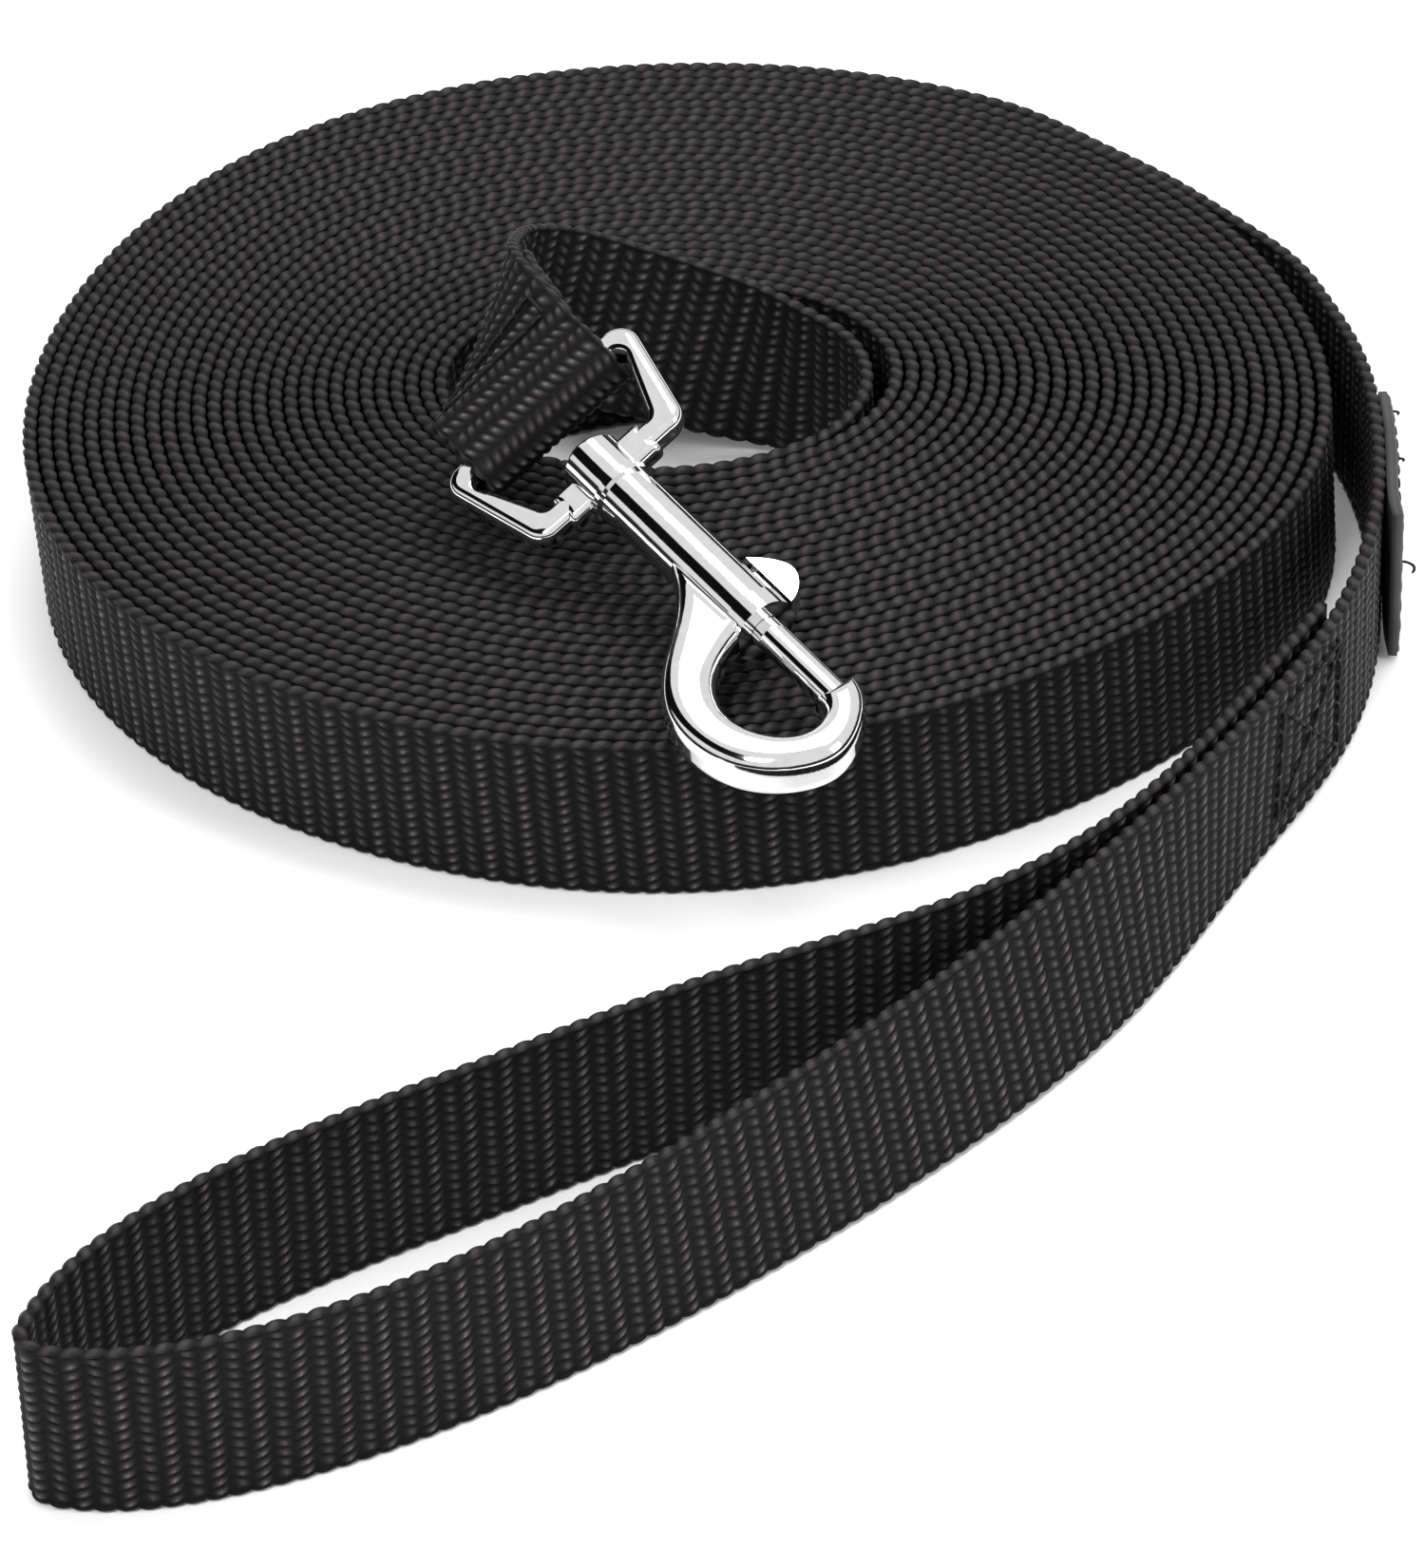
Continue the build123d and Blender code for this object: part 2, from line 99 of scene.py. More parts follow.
# ---------------------------------------------------------------- curves
def cubic(points):
    """A natural cubic spline through rows of numbers, by their chord lengths."""
    pts = np.array(points, float)
    gaps = np.maximum(np.linalg.norm(np.diff(pts, axis=0), axis=1), 1e-6)
    t = np.concatenate([[0], np.cumsum(gaps)])
    n = len(pts)
    a = np.zeros((n, n))
    r = np.zeros_like(pts)
    a[0, 0] = a[-1, -1] = 1
    for i in range(1, n - 1):
        a[i, i - 1] = gaps[i - 1]
        a[i, i] = 2 * (gaps[i - 1] + gaps[i])
        a[i, i + 1] = gaps[i]
        r[i] = 6 * ((pts[i + 1] - pts[i]) / gaps[i] - (pts[i] - pts[i - 1]) / gaps[i - 1])
    m = np.linalg.solve(a, r)

    def at(x):
        k = np.clip(np.searchsorted(t, x) - 1, 0, n - 2)
        h = gaps[k][:, None]
        u = (x - t[k])[:, None]
        v = h - u
        return (
            m[k] * v**3 / (6 * h)
            + m[k + 1] * u**3 / (6 * h)
            + (pts[k] / h - m[k] * h / 6) * v
            + (pts[k + 1] / h - m[k + 1] * h / 6) * u
        )

    return at, t[-1]


def station(top, foot):
    """One row of the path: a top-edge point and a bottom-edge point, moved to the coil's place."""
    return [top[0] + COIL[0], top[1] + COIL[1], top[2], foot[0] + COIL[0], foot[1] + COIL[1], foot[2]]


def upright(x, y):
    return station((x, y, WIDTH), (x, y, 0.0))


def leaning(top, foot):
    return station((*top, WIDTH - 0.1), (*foot, 0.05))


# Hand loop, from its cut end round to the joint, then the lead to the coil.
INNER_LEG = [
    (68.4, -48.6), (58.6, -65.4), (42.4, -87.2), (27.4, -98.6),
    (2.4, -110.2), (-22.0, -123.5), (-50.5, -141.4),
]
BEND = [(-65.3, -161.0), (-65.6, -162.7), (-64.9, -164.3), (-62.6, -165.4)]
OUTER_TOP = [
    (-51.0, -165.4), (-34.2, -159.8), (-10.2, -144.0), (14.6, -121.6),
    (41.0, -93.0), (61.0, -66.0), (70.7, -48.1),
]
OUTER_FOOT = [
    (-51.0, -165.4), (-34.2, -159.8), (-8.8, -144.9), (17.4, -124.0),
    (43.6, -95.8), (60.0, -67.6), (70.7, -48.1),
]
LEAD = [
    (75.6, -31.0), (77.1, -18.0), (77.2, -6.0), (75.8, 4.5), (73.8, 12.2),
    (70.8, 20.8), (65.5, 29.0), (57.7, 39.5), (49.6, 48.2),
]

# The outermost turn's outline, anticlockwise from where the lead leaves it.
COIL_START = (41.6, 54.9)
OUTLINE = [
    (29.2, 63.2), (15.9, 67.9), (-1.2, 70.6), (-18.3, 68.7), (-31.9, 64.0), (-45.4, 56.3), (-58.4, 43.0),
    (-70.5, 17.3), (-73.1, -12.9), (-66.0, -32.0), (-54.9, -47.6), (-44.7, -57.3), (-32.0, -64.0),
    (-20.0, -68.0), (-3.8, -70.9), (10.5, -69.9), (26.4, -65.8), (42.4, -56.5), (60.2, -40.4), (70.6, -21.4),
    (73.6, -3.0), (71.6, 12.0), (66.8, 24.6), (57.4, 38.0),
]
HOLE_MIDDLE = (-1.2, 1.5)
HOLE_RADII = (24.5, 19.3)
TURNS = 27.75
FIRST_PITCH = (68.0 - 22.0) / TURNS
STEP_DEGREES = 9.0
SHEAR = np.array([-0.45, -0.35])
HARMONICS = 5
START_WEIGHT = 3.0

# The inner end: top-edge and bottom-edge points.
STATIONS = [
    ((20.6, -4.0, 20.0), (20.9, -4.0, 0.0)),
    ((20.8, 3.0, 20.0), (20.8, 3.0, 0.0)),
    ((18.6, 8.6, 20.1), (18.4, 8.8, 0.1)),
    ((14.6, 12.6, 20.5), (13.4, 12.8, 0.7)),
    ((8.1, 17.0, 21.7), (3.2, 13.8, 3.1)),
    ((1.2, 18.4, 23.9), (-4.3, 13.0, 6.0)),
    ((-5.7, 18.3, 26.9), (-11.4, 11.3, 9.3)),
    ((-11.6, 16.2, 30.3), (-16.8, 8.8, 12.6)),
    ((-15.4, 12.6, 33.0), (-20.4, 4.9, 15.2)),
    ((-17.3, 3.9, 37.5), (-21.6, -4.0, 19.6)),
    ((-17.6, -5.6, 41.5), (-24.3, -12.6, 24.2)),
    ((-16.2, -11.3, 42.7), (-25.9, -17.8, 26.8)),
    ((-14.0, -15.6, 42.5), (-26.4, -22.0, 28.8)),
]


def first_turn():
    """The start angle, and the outline's radius as a smooth function of the angle gone round."""
    start = math.atan2(COIL_START[1], COIL_START[0])
    pts = np.array([COIL_START] + OUTLINE)
    ang = np.mod(np.arctan2(pts[:, 1], pts[:, 0]) - start, 2 * math.pi)
    rad = np.hypot(pts[:, 0], pts[:, 1]) - HALF_THICK
    rad[0] += HALF_THICK

    def basis(x):
        rows = [np.ones_like(x)]
        for k in range(1, HARMONICS + 1):
            rows += [np.cos(k * x), np.sin(k * x)]
        return np.array(rows).T

    ramp = -FIRST_PITCH * ang / (2 * math.pi)
    weight = np.ones(len(ang))
    weight[0] = START_WEIGHT
    fit = np.linalg.lstsq(basis(ang) * weight[:, None], (rad - ramp) * weight, rcond=None)[0]
    return start, lambda x: basis(x) @ fit


def hole_radius(angle):
    """The distance from the coil's centre to the innermost turn's middle."""
    c, s = np.cos(angle), np.sin(angle)
    rx, ry = HOLE_RADII[0] + HALF_THICK, HOLE_RADII[1] + HALF_THICK
    qa = (c / rx) ** 2 + (s / ry) ** 2
    qb = -2 * (c * HOLE_MIDDLE[0] / rx**2 + s * HOLE_MIDDLE[1] / ry**2)
    qc = (HOLE_MIDDLE[0] / rx) ** 2 + (HOLE_MIDDLE[1] / ry) ** 2 - 1
    return (-qb + np.sqrt(qb**2 - 4 * qa * qc)) / (2 * qa)


def spiral():
    """Rows of the wound stretch, from the outline in to the hole."""
    start, outer = first_turn()
    gone = np.radians(np.arange(0, TURNS * 360 + 1, STEP_DEGREES))
    turn = gone / (2 * math.pi)
    angle = start + gone
    out = outer(np.mod(gone, 2 * math.pi))
    gap = (out - hole_radius(angle)) / (TURNS - 0.5)
    later = FIRST_PITCH * turn + (gap - FIRST_PITCH) * np.clip(turn - 0.5, 0, None)
    base = out - np.where(turn < 1, FIRST_PITCH * turn, later)
    x, y = base * np.cos(angle), base * np.sin(angle)
    rows = np.zeros((len(gone), 6))
    for j, sign in ((0, 1.0), (3, -1.0)):
        rows[:, j] = x + COIL[0] + sign * SHEAR[0]
        rows[:, j + 1] = y + COIL[1] + sign * SHEAR[1]
        rows[:, j + 2] = WIDTH if j == 0 else 0.0
    return rows.tolist()


def edges_at(mid):
    half = BAR_WAY * WIDTH * BAR_SHARE
    return list(mid + half) + list(mid - half)


def bar_point(forward, up):
    return BAR + ALONG * forward + BAR_UP * up


def whole_path():
    """Rows from the hand loop's cut end to the cut end at the snap, and named places among them."""
    rows = [upright(*p) for p in INNER_LEG + BEND]
    rows += [leaning(a, b) for a, b in zip(OUTER_TOP, OUTER_FOOT)]
    rows += [upright(*p) for p in LEAD]
    marks = {"joint": len(INNER_LEG + BEND) + len(OUTER_TOP) - 1}
    marks["coil"] = len(rows)
    rows += spiral()
    marks["coil_end"] = len(rows) - 1
    rows += [station(*p) for p in STATIONS]
    rows += [edges_at(bar_point(*p)) for p in BAR_APPROACH]
    upper = len(rows)
    for degrees in LOOP_DEGREES:
        turn = math.radians(degrees)
        rows.append(edges_at(bar_point(LOOP_RADIUS * math.cos(turn), LOOP_RADIUS * math.sin(turn))))
    tail = []
    at, total = cubic(rows[:upper])
    for back in CUT_END_STEPS:
        here, ahead = at(np.array([total - back * math.sqrt(2), total - (back - 1) * math.sqrt(2)]))
        top, foot = here[:3], here[3:]
        travel = ahead[:3] + ahead[3:] - top - foot
        face = np.cross(travel, top - foot)
        face /= np.linalg.norm(face)
        sink = LAYER_GAP_AT_BAR if back == CUT_END_STEPS[0] else LAYER_GAP
        tail.append(list(top - face * sink) + list(foot - face * sink))
    rows += tail
    marks["bar"] = upper
    return rows, marks


ROWS, MARKS = whole_path()
PATH, PATH_TOTAL = cubic(ROWS)
ARC_STEPS = 60000
TRAVEL_STEP = 0.6
UV_LENGTH = 10.0


def arc_table():
    """Even steps of the path, and the true length along the webbing's middle at each."""
    x = np.linspace(0, PATH_TOTAL, ARC_STEPS)
    e = PATH(x)
    mid = (e[:, :3] + e[:, 3:]) / 2
    s = np.concatenate([[0], np.cumsum(np.linalg.norm(np.diff(mid, axis=0), axis=1))])
    return x, s


ARC_X, ARC_S = arc_table()
LENGTH = ARC_S[-1]
row_gaps = np.linalg.norm(np.diff(np.array(ROWS), axis=0), axis=1)
ROW_X = np.concatenate([[0], np.cumsum(row_gaps)])


def length_at(row):
    return float(np.interp(ROW_X[row], ARC_X, ARC_S))


def ribbon(s):
    """Middle, width direction, face direction and travel at lengths along the webbing."""
    x = np.interp(s, ARC_S, ARC_X)
    e = PATH(x)
    top, foot = e[:, :3], e[:, 3:]
    mid = (top + foot) / 2
    ahead = PATH(np.clip(x + TRAVEL_STEP, 0, PATH_TOTAL))
    behind = PATH(np.clip(x - TRAVEL_STEP, 0, PATH_TOTAL))
    travel = (ahead[:, :3] + ahead[:, 3:] - behind[:, :3] - behind[:, 3:]) / 2
    across = top - foot
    across /= np.linalg.norm(across, axis=1)[:, None]
    face = np.cross(travel, across)
    face /= np.linalg.norm(face, axis=1)[:, None]
    travel = np.cross(across, face)
    return mid, across, face, travel


# ---------------------------------------------------------------- meshes
def make_mesh(name, verts, faces, uvs=None, painted_light_and_shade=None):
    """A smooth-shaded object from points in metres, with its strip map and its painted highlight and shade
    levels.
    """
    mesh = bpy.data.meshes.new(name)
    mesh.from_pydata(verts.tolist(), [], faces)
    if uvs is not None:
        layer = mesh.uv_layers.new(name="strip")
        index = np.zeros(len(mesh.loops), np.int64)
        mesh.loops.foreach_get("vertex_index", index)
        layer.data.foreach_set("uv", np.asarray(uvs, np.float32)[index].ravel())
    # The per-point values are painted light: painted highlight on the weave's tops, painted shade in its
    # grooves.
    if painted_light_and_shade is not None:
        shade = mesh.attributes.new("painted_light_and_shade", "FLOAT", "POINT")
        shade.data.foreach_set("value", np.asarray(painted_light_and_shade, np.float32).ravel())
    mesh.polygons.foreach_set("use_smooth", np.full(len(mesh.polygons), True))
    mesh.update()
    obj = bpy.data.objects.new(name, mesh)
    bpy.context.scene.collection.objects.link(obj)
    return obj


def face_columns(fine):
    """Across positions from foot to top as (place 0..1, height, zigzag share)."""
    if not fine:
        return [(0.0, 0.5, 0.0), (1.0, 0.5, 0.0)]
    cols = []
    steps = len(BEAD_PROFILE)
    count = BEADS * steps
    for c in range(count + 1):
        ends = 0.0 if c in (0, count) else 1.0
        cols.append((c / count, BEAD_PROFILE[c % steps], ends))
    return cols


def woven(name, start, stop, outer_fine, inner_fine):
    """A stretch of webbing with its ribs, slanted yarn beads and corded edges as real raised geometry, and
    painted highlight and shade levels.
    """
    rows_per_rib = FINE_ROWS if outer_fine or inner_fine else PLAIN_ROWS
    first = int(round(start / RIB * rows_per_rib))
    last = int(round(stop / RIB * rows_per_rib))
    index = np.arange(first, last + 1)
    s = np.clip(index * RIB / rows_per_rib, 0, LENGTH)
    mid, across, face, travel = ribbon(s)
    share = (index % rows_per_rib) / rows_per_rib
    odd = (index // rows_per_rib) % 2
    arch = np.sin(share * math.pi)
    rise = np.where(odd == 0, arch**1.5, 0.90 * arch**2.2)
    zig = np.where(odd == 0, BEAD_SLANT * (share - 0.5), 0.5 - BEAD_SLANT * (share - 0.5)) - 0.25
    bead = (WIDTH - 2 * EDGE_INSET) / BEADS
    flat = WIDTH / 2 - EDGE_INSET
    rings = []
    uvs = []
    painted_light_levels = []

    def add(offset_w, offset_f, offset_t, u, top):
        rings.append(
            mid
            + across * np.asarray(offset_w)[:, None]
            + face * np.asarray(offset_f)[:, None]
            + travel * np.asarray(offset_t)[:, None]
        )
        uvs.append(np.stack([s / UV_LENGTH, np.full(len(s), u)], axis=1))
        painted_light_levels.append(top)

    none = np.zeros(len(s))
    tone = EDGE_WAIST + (1 - EDGE_WAIST) * arch**0.8

    def edge(sign):
        for k, turn in enumerate(EDGE_ANGLES):
            angle = math.radians(turn)
            out = flat + EDGE_START + EDGE_REACH * math.sin(angle) * tone
            thick = math.cos(angle) * (CORE + EDGE_THICK * tone)
            # The last value is the cord's painted level: painted shade at its waists, painted highlight on
            # its bumps.
            yield sign * out, thick, none + EDGE_TWIST * (k - 2) / 2, EDGE_PAINTED_SHADE + EDGE_PAINTED_HIGHLIGHT * arch

    # Each ring's last value is its painted light level: painted highlight on bead tops and painted shade in
    # grooves on fine faces, one painted shade level on plain faces.
    for place, height, moves in face_columns(outer_fine):
        w = -flat + 2 * flat * place + moves * zig * bead
        high = rise * height if outer_fine else none + PLAIN_HEIGHT
        add(w, CORE + RELIEF * high, none, place * 2, high if outer_fine else none + PLAIN_SHADE)
    for w, f, t, shade in edge(1):
        add(w, f, t, 2.2, shade)
    for place, height, moves in reversed(face_columns(inner_fine)):
        w = -flat + 2 * flat * place - moves * zig * bead
        high = rise * height if inner_fine else none + PLAIN_HEIGHT
        add(w, -CORE - RELIEF * high, none, place * 2, high if inner_fine else none + PLAIN_SHADE)
    for w, f, t, shade in reversed(list(edge(-1))):
        add(w, f, t, -0.2, shade)

    grid = np.stack(rings, axis=1)
    uv = np.stack(uvs, axis=1)
    rows_n, cols_n = grid.shape[:2]
    r, c = np.meshgrid(np.arange(rows_n - 1), np.arange(cols_n), indexing="ij")
    n = (c + 1) % cols_n
    quads = np.stack(
        [r * cols_n + c, r * cols_n + n, (r + 1) * cols_n + n, (r + 1) * cols_n + c], axis=-1
    )
    faces = quads.reshape(-1, 4).tolist()
    faces.append(list(range(cols_n - 1, -1, -1)))
    faces.append([(rows_n - 1) * cols_n + k for k in range(cols_n)])
    verts = grid.reshape(-1, 3)
    verts[:, 2] = np.maximum(verts[:, 2], FLOOR_LIFT)
    return make_mesh(name, verts * MM, faces, uv.reshape(-1, 2), np.stack(painted_light_levels, axis=1))


# ---------------------------------------------------------------- materials
def material(name):
    """A new material, with its node tree and its main shader."""
    mat = bpy.data.materials.new(name)
    mat.use_nodes = True
    tree = mat.node_tree
    return mat, tree, tree.nodes["Principled BSDF"]


def node(tree, kind, **values):
    """A new shader node, with values set on its sockets or, failing that, on the node."""
    n = tree.nodes.new(kind)
    for key, value in values.items():
        if key in n.inputs:
            n.inputs[key].default_value = value
        else:
            setattr(n, key, value)
    return n


def bump(tree, height, strength, distance, before=None):
    b = node(tree, "ShaderNodeBump", Strength=strength, Distance=distance)
    tree.links.new(height, b.inputs["Height"])
    if before is not None:
        tree.links.new(before, b.inputs["Normal"])
    return b.outputs["Normal"]


def ramp(tree, source, stops):
    r = node(tree, "ShaderNodeValToRGB")
    while len(r.color_ramp.elements) < len(stops):
        r.color_ramp.elements.new(0.5)
    for e, (pos, col) in zip(r.color_ramp.elements, stops):
        e.position = pos
        e.color = (*col, 1.0)
    tree.links.new(source, r.inputs["Fac"])
    return r.outputs["Color"]


def noise(tree, where, scale, detail):
    """Noise over the object's own coordinates."""
    n = node(tree, "ShaderNodeTexNoise", Scale=scale, Detail=detail)
    tree.links.new(where.outputs["Object"], n.inputs["Vector"])
    return n.outputs["Fac"]


def webbing_material():
    mat, tree, bsdf = material("woven_black")
    where = node(tree, "ShaderNodeTexCoord")
    patch = noise(tree, where, 900.0, 3.0)
    # Reads the painted highlight and shade level stored on the mesh.
    height = node(tree, "ShaderNodeAttribute", attribute_name="painted_light_and_shade")
    shift = node(tree, "ShaderNodeMath", operation="MULTIPLY_ADD")
    shift.inputs[1].default_value = 0.34
    shift.inputs[2].default_value = -0.17
    tree.links.new(patch, shift.inputs[0])
    tone = node(tree, "ShaderNodeMath", operation="ADD")
    tree.links.new(height.outputs["Fac"], tone.inputs[0])
    tree.links.new(shift.outputs[0], tone.inputs[1])
    # Base colour paints light: near black in grooves and cord waists (painted shade), bright on bead and
    # cord tops (painted highlight), plus a random tone shift.
    color = ramp(
        tree,
        tone.outputs[0],
        [
            (0.05, (0.0030, 0.0026, 0.0028)),
            (0.50, (0.0100, 0.0085, 0.0090)),
            (0.80, (0.0360, 0.0315, 0.0330)),
            (1.00, (0.1200, 0.1080, 0.1100)),
        ],
    )
    tree.links.new(color, bsdf.inputs["Base Color"])
    rough = node(tree, "ShaderNodeMapRange")
    rough.inputs["To Min"].default_value = 0.75
    rough.inputs["To Max"].default_value = 0.40
    tree.links.new(tone.outputs[0], rough.inputs["Value"])
    tree.links.new(rough.outputs["Result"], bsdf.inputs["Roughness"])
    bsdf.inputs["Specular IOR Level"].default_value = 0.14
    fibres = node(tree, "ShaderNodeMapping")
    fibres.inputs["Scale"].default_value = (30.0, 150.0, 1.0)
    fibres.inputs["Rotation"].default_value = (0.0, 0.0, 0.35)
    tree.links.new(where.outputs["UV"], fibres.inputs["Vector"])
    yarn = node(tree, "ShaderNodeTexNoise", Scale=1.0, Detail=2.0)
    tree.links.new(fibres.outputs["Vector"], yarn.inputs["Vector"])
    fuzz = noise(tree, where, 5200.0, 2.0)
    first = bump(tree, yarn.outputs["Fac"], 0.5, 0.00012)
    second = bump(tree, fuzz, 0.35, 0.00006, first)
    tree.links.new(second, bsdf.inputs["Normal"])
    return mat


def thread_material():
    mat, tree, bsdf = material("thread_black")
    fuzz = noise(tree, node(tree, "ShaderNodeTexCoord"), 3500.0, 2.0)
    color = ramp(tree, fuzz, [(0.35, (0.005, 0.0045, 0.005)), (0.7, (0.018, 0.0165, 0.017))])
    tree.links.new(color, bsdf.inputs["Base Color"])
    bsdf.inputs["Roughness"].default_value = 0.65
    bsdf.inputs["Specular IOR Level"].default_value = 0.15
    tree.links.new(bump(tree, fuzz, 0.5, 0.00006), bsdf.inputs["Normal"])
    return mat


def label_material():
    mat, tree, bsdf = material("label_grey")
    where = node(tree, "ShaderNodeTexCoord")
    cloud = noise(tree, where, 220.0, 4.0)
    color = ramp(tree, cloud, [(0.35, (0.024, 0.024, 0.025)), (0.65, (0.038, 0.038, 0.039))])
    tree.links.new(color, bsdf.inputs["Base Color"])
    bsdf.inputs["Roughness"].default_value = 0.62
    grain = noise(tree, where, 4200.0, 2.0)
    wave = bump(tree, cloud, 0.25, 0.0006)
    tree.links.new(bump(tree, grain, 0.35, 0.00005, wave), bsdf.inputs["Normal"])
    return mat


def chrome_material(name, tint, rough):
    mat, tree, bsdf = material(name)
    where = node(tree, "ShaderNodeTexCoord")
    cast = noise(tree, where, 160.0, 2.0)
    pits = noise(tree, where, 900.0, 3.0)
    color = ramp(tree, pits, [(0.3, tuple(0.93 * t for t in tint)), (0.7, tint)])
    tree.links.new(color, bsdf.inputs["Base Color"])
    bsdf.inputs["Metallic"].default_value = 1.0
    shine = node(tree, "ShaderNodeMapRange")
    shine.inputs["To Min"].default_value = rough * 0.7
    shine.inputs["To Max"].default_value = rough * 1.4
    tree.links.new(pits, shine.inputs["Value"])
    tree.links.new(shine.outputs["Result"], bsdf.inputs["Roughness"])
    tree.links.new(bump(tree, cast, 0.12, 0.0005), bsdf.inputs["Normal"])
    return mat


WEB = webbing_material()
THREAD = thread_material()
LABEL = label_material()
CHROME = chrome_material("chrome_bright", (0.90, 0.905, 0.91), 0.07)
STEEL = chrome_material("spring_wire", (0.60, 0.61, 0.63), 0.25)


def dress(obj, mat, nodes=()):
    """Gives a webbing-side piece its material and its body, and hides the CAD nodes it stands for."""
    obj.data.materials.clear()
    obj.data.materials.append(mat)
    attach(obj, "webbing")
    if nodes:
        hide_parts(*nodes)


# ---------------------------------------------------------------- the webbing
s_joint = length_at(MARKS["joint"])
s_coil = length_at(MARKS["coil"])
s_coil_end = length_at(MARKS["coil_end"])
FIRST_TURN = 455.0
LAST_TURN = 150.0


def snap_to_rib(s):
    return round(s / RIB) * RIB


cuts = [0.0, s_joint, s_coil, s_coil + FIRST_TURN, s_coil_end - LAST_TURN, s_coil_end, LENGTH]
cuts = [snap_to_rib(s) for s in cuts]
cuts[-1] = math.floor(LENGTH / RIB) * RIB
pieces = [
    ("handle_webbing", True, True, ["handle_loop"]),
    ("lead_webbing", True, True, ["webbing_lead"]),
    ("coil_outer_turn", True, False, ["webbing_coil"]),
    ("coil_turns", False, False, []),
    ("coil_inner_turn", False, True, []),
    ("snap_end_strap", True, True, ["snap_end_webbing", "snap_end_loop"]),
]
for (name, outer_fine, inner_fine, nodes), start, stop in zip(pieces, cuts, cuts[1:]):
    obj = woven(name, start, stop, outer_fine, inner_fine)
    dress(obj, WEB, nodes)


# ---------------------------------------------------------------- stitches and label
def tube(points, radius, sides=6):
    """A thread along points, with rounded-off ends."""
    pts = np.array(points, float)
    n = len(pts)
    t = np.gradient(pts, axis=0)
    t /= np.linalg.norm(t, axis=1)[:, None]
    ref = np.array([0.3, 0.5, 0.81])
    a = np.cross(t, ref)
    a /= np.linalg.norm(a, axis=1)[:, None]
    b = np.cross(t, a)
    rad = np.full(n, radius)
    rad[0] = rad[-1] = radius * 0.45
    angle = np.arange(sides) * 2 * math.pi / sides
    ring = pts[:, None] + rad[:, None, None] * (
        a[:, None] * np.cos(angle)[None, :, None] + b[:, None] * np.sin(angle)[None, :, None]
    )
    faces = []
    for i in range(n - 1):
        for k in range(sides):
            m = (k + 1) % sides
            faces.append([i * sides + k, i * sides + m, (i + 1) * sides + m, (i + 1) * sides + k])
    faces.append(list(range(sides - 1, -1, -1)))
    faces.append([(n - 1) * sides + k for k in range(sides)])
    return ring.reshape(-1, 3), faces


def on_webbing(s, w, lift):
    """Points at lengths s and widths w, lifted off the webbing's middle."""
    mid, across, face, _ = ribbon(np.atleast_1d(np.asarray(s, float)))
    return mid + across * np.atleast_1d(w)[:, None] + face * np.atleast_1d(lift)[:, None]


def join_tubes(name, runs, radius):
    verts, faces, base = [], [], 0
    for run in runs:
        v, f = tube(run, radius)
        verts.append(v)
        faces += [[i + base for i in q] for q in f]
        base += len(v)
    return make_mesh(name, np.concatenate(verts) * MM, faces)


STITCH_PITCH = 2.65
STITCH_ENDS = (0.06, 0.94)
STITCH_ARCH = 0.20
STITCH_SINK = 0.12


def stitch_line(a, b, lift, bulge=None):
    """Separate stitches from a to b, each (along, across), lying on the webbing."""
    a, b = np.array(a, float), np.array(b, float)
    span = np.linalg.norm(b - a)
    count = max(1, int(round(span / STITCH_PITCH)))
    runs = []
    for i in range(count):
        p = a + (b - a) * (i + STITCH_ENDS[0]) / count
        q = a + (b - a) * (i + STITCH_ENDS[1]) / count
        u = np.linspace(0, 1, 7)
        line = p[None] * (1 - u)[:, None] + q[None] * u[:, None]
        high = lift + STITCH_ARCH * np.sin(u * math.pi) ** 0.6 - STITCH_SINK
        if bulge:
            high = high + bulge(line[:, 0])
        runs.append(on_webbing(line[:, 0], line[:, 1], high))
    return runs


def stitch_box(middle, length, height, lift, cross=True, bulge=None):
    a, b = middle - length / 2, middle + length / 2
    h = height / 2
    corners = [(a, -h), (b, -h), (b, h), (a, h)]
    runs = []
    for p, q in zip(corners, corners[1:] + corners[:1]):
        runs += stitch_line(p, q, lift, bulge)
    if cross:
        runs += stitch_line(corners[0], corners[2], lift)
        runs += stitch_line(corners[3], corners[1], lift)
    return runs


# The hand loop's sewn box shows on both of its layers; the snap end has one narrow box.
JOINT_BOX = (15.0, 14.0)
JOINT_SETBACK = 11.0
CUT_END_SETBACK = 11.5
SEAM_BOX = (3.0, 15.0)
SEAM_SETBACK = 9.5
THREAD_RADIUS = 0.24
LABEL_THREAD_RADIUS = 0.17

runs = stitch_box(s_joint - JOINT_SETBACK, *JOINT_BOX, SURFACE)
runs += stitch_box(CUT_END_SETBACK, *JOINT_BOX, SURFACE)
dress(join_tubes("handle_joint_stitches", runs, THREAD_RADIUS), THREAD, ["handle_stitching"])
runs = stitch_box(length_at(MARKS["bar"]) - SEAM_SETBACK, *SEAM_BOX, SURFACE, cross=False)
dress(join_tubes("snap_end_stitches", runs, THREAD_RADIUS), THREAD, ["snap_end_stitching"])

# The label: a smooth patch that follows the lead, with rounded edges.
s_label = s_joint + 17.5
LABEL_LENGTH = 24.0
LABEL_HALF = 9.5
LABEL_LIFT = SURFACE + 0.95
LABEL_FLARE = 1.1
LABEL_RIM = 0.40
SEAM_LONG_INSET = 1.7
SEAM_SIDE_INSET = 1.6
SEAM_WIDTH = 0.35


def label_flare(s):
    """How far the label's front end stands off the webbing."""
    return LABEL_FLARE * np.maximum(1 - 2 * (s - s_label) / LABEL_LENGTH, 0) ** 3


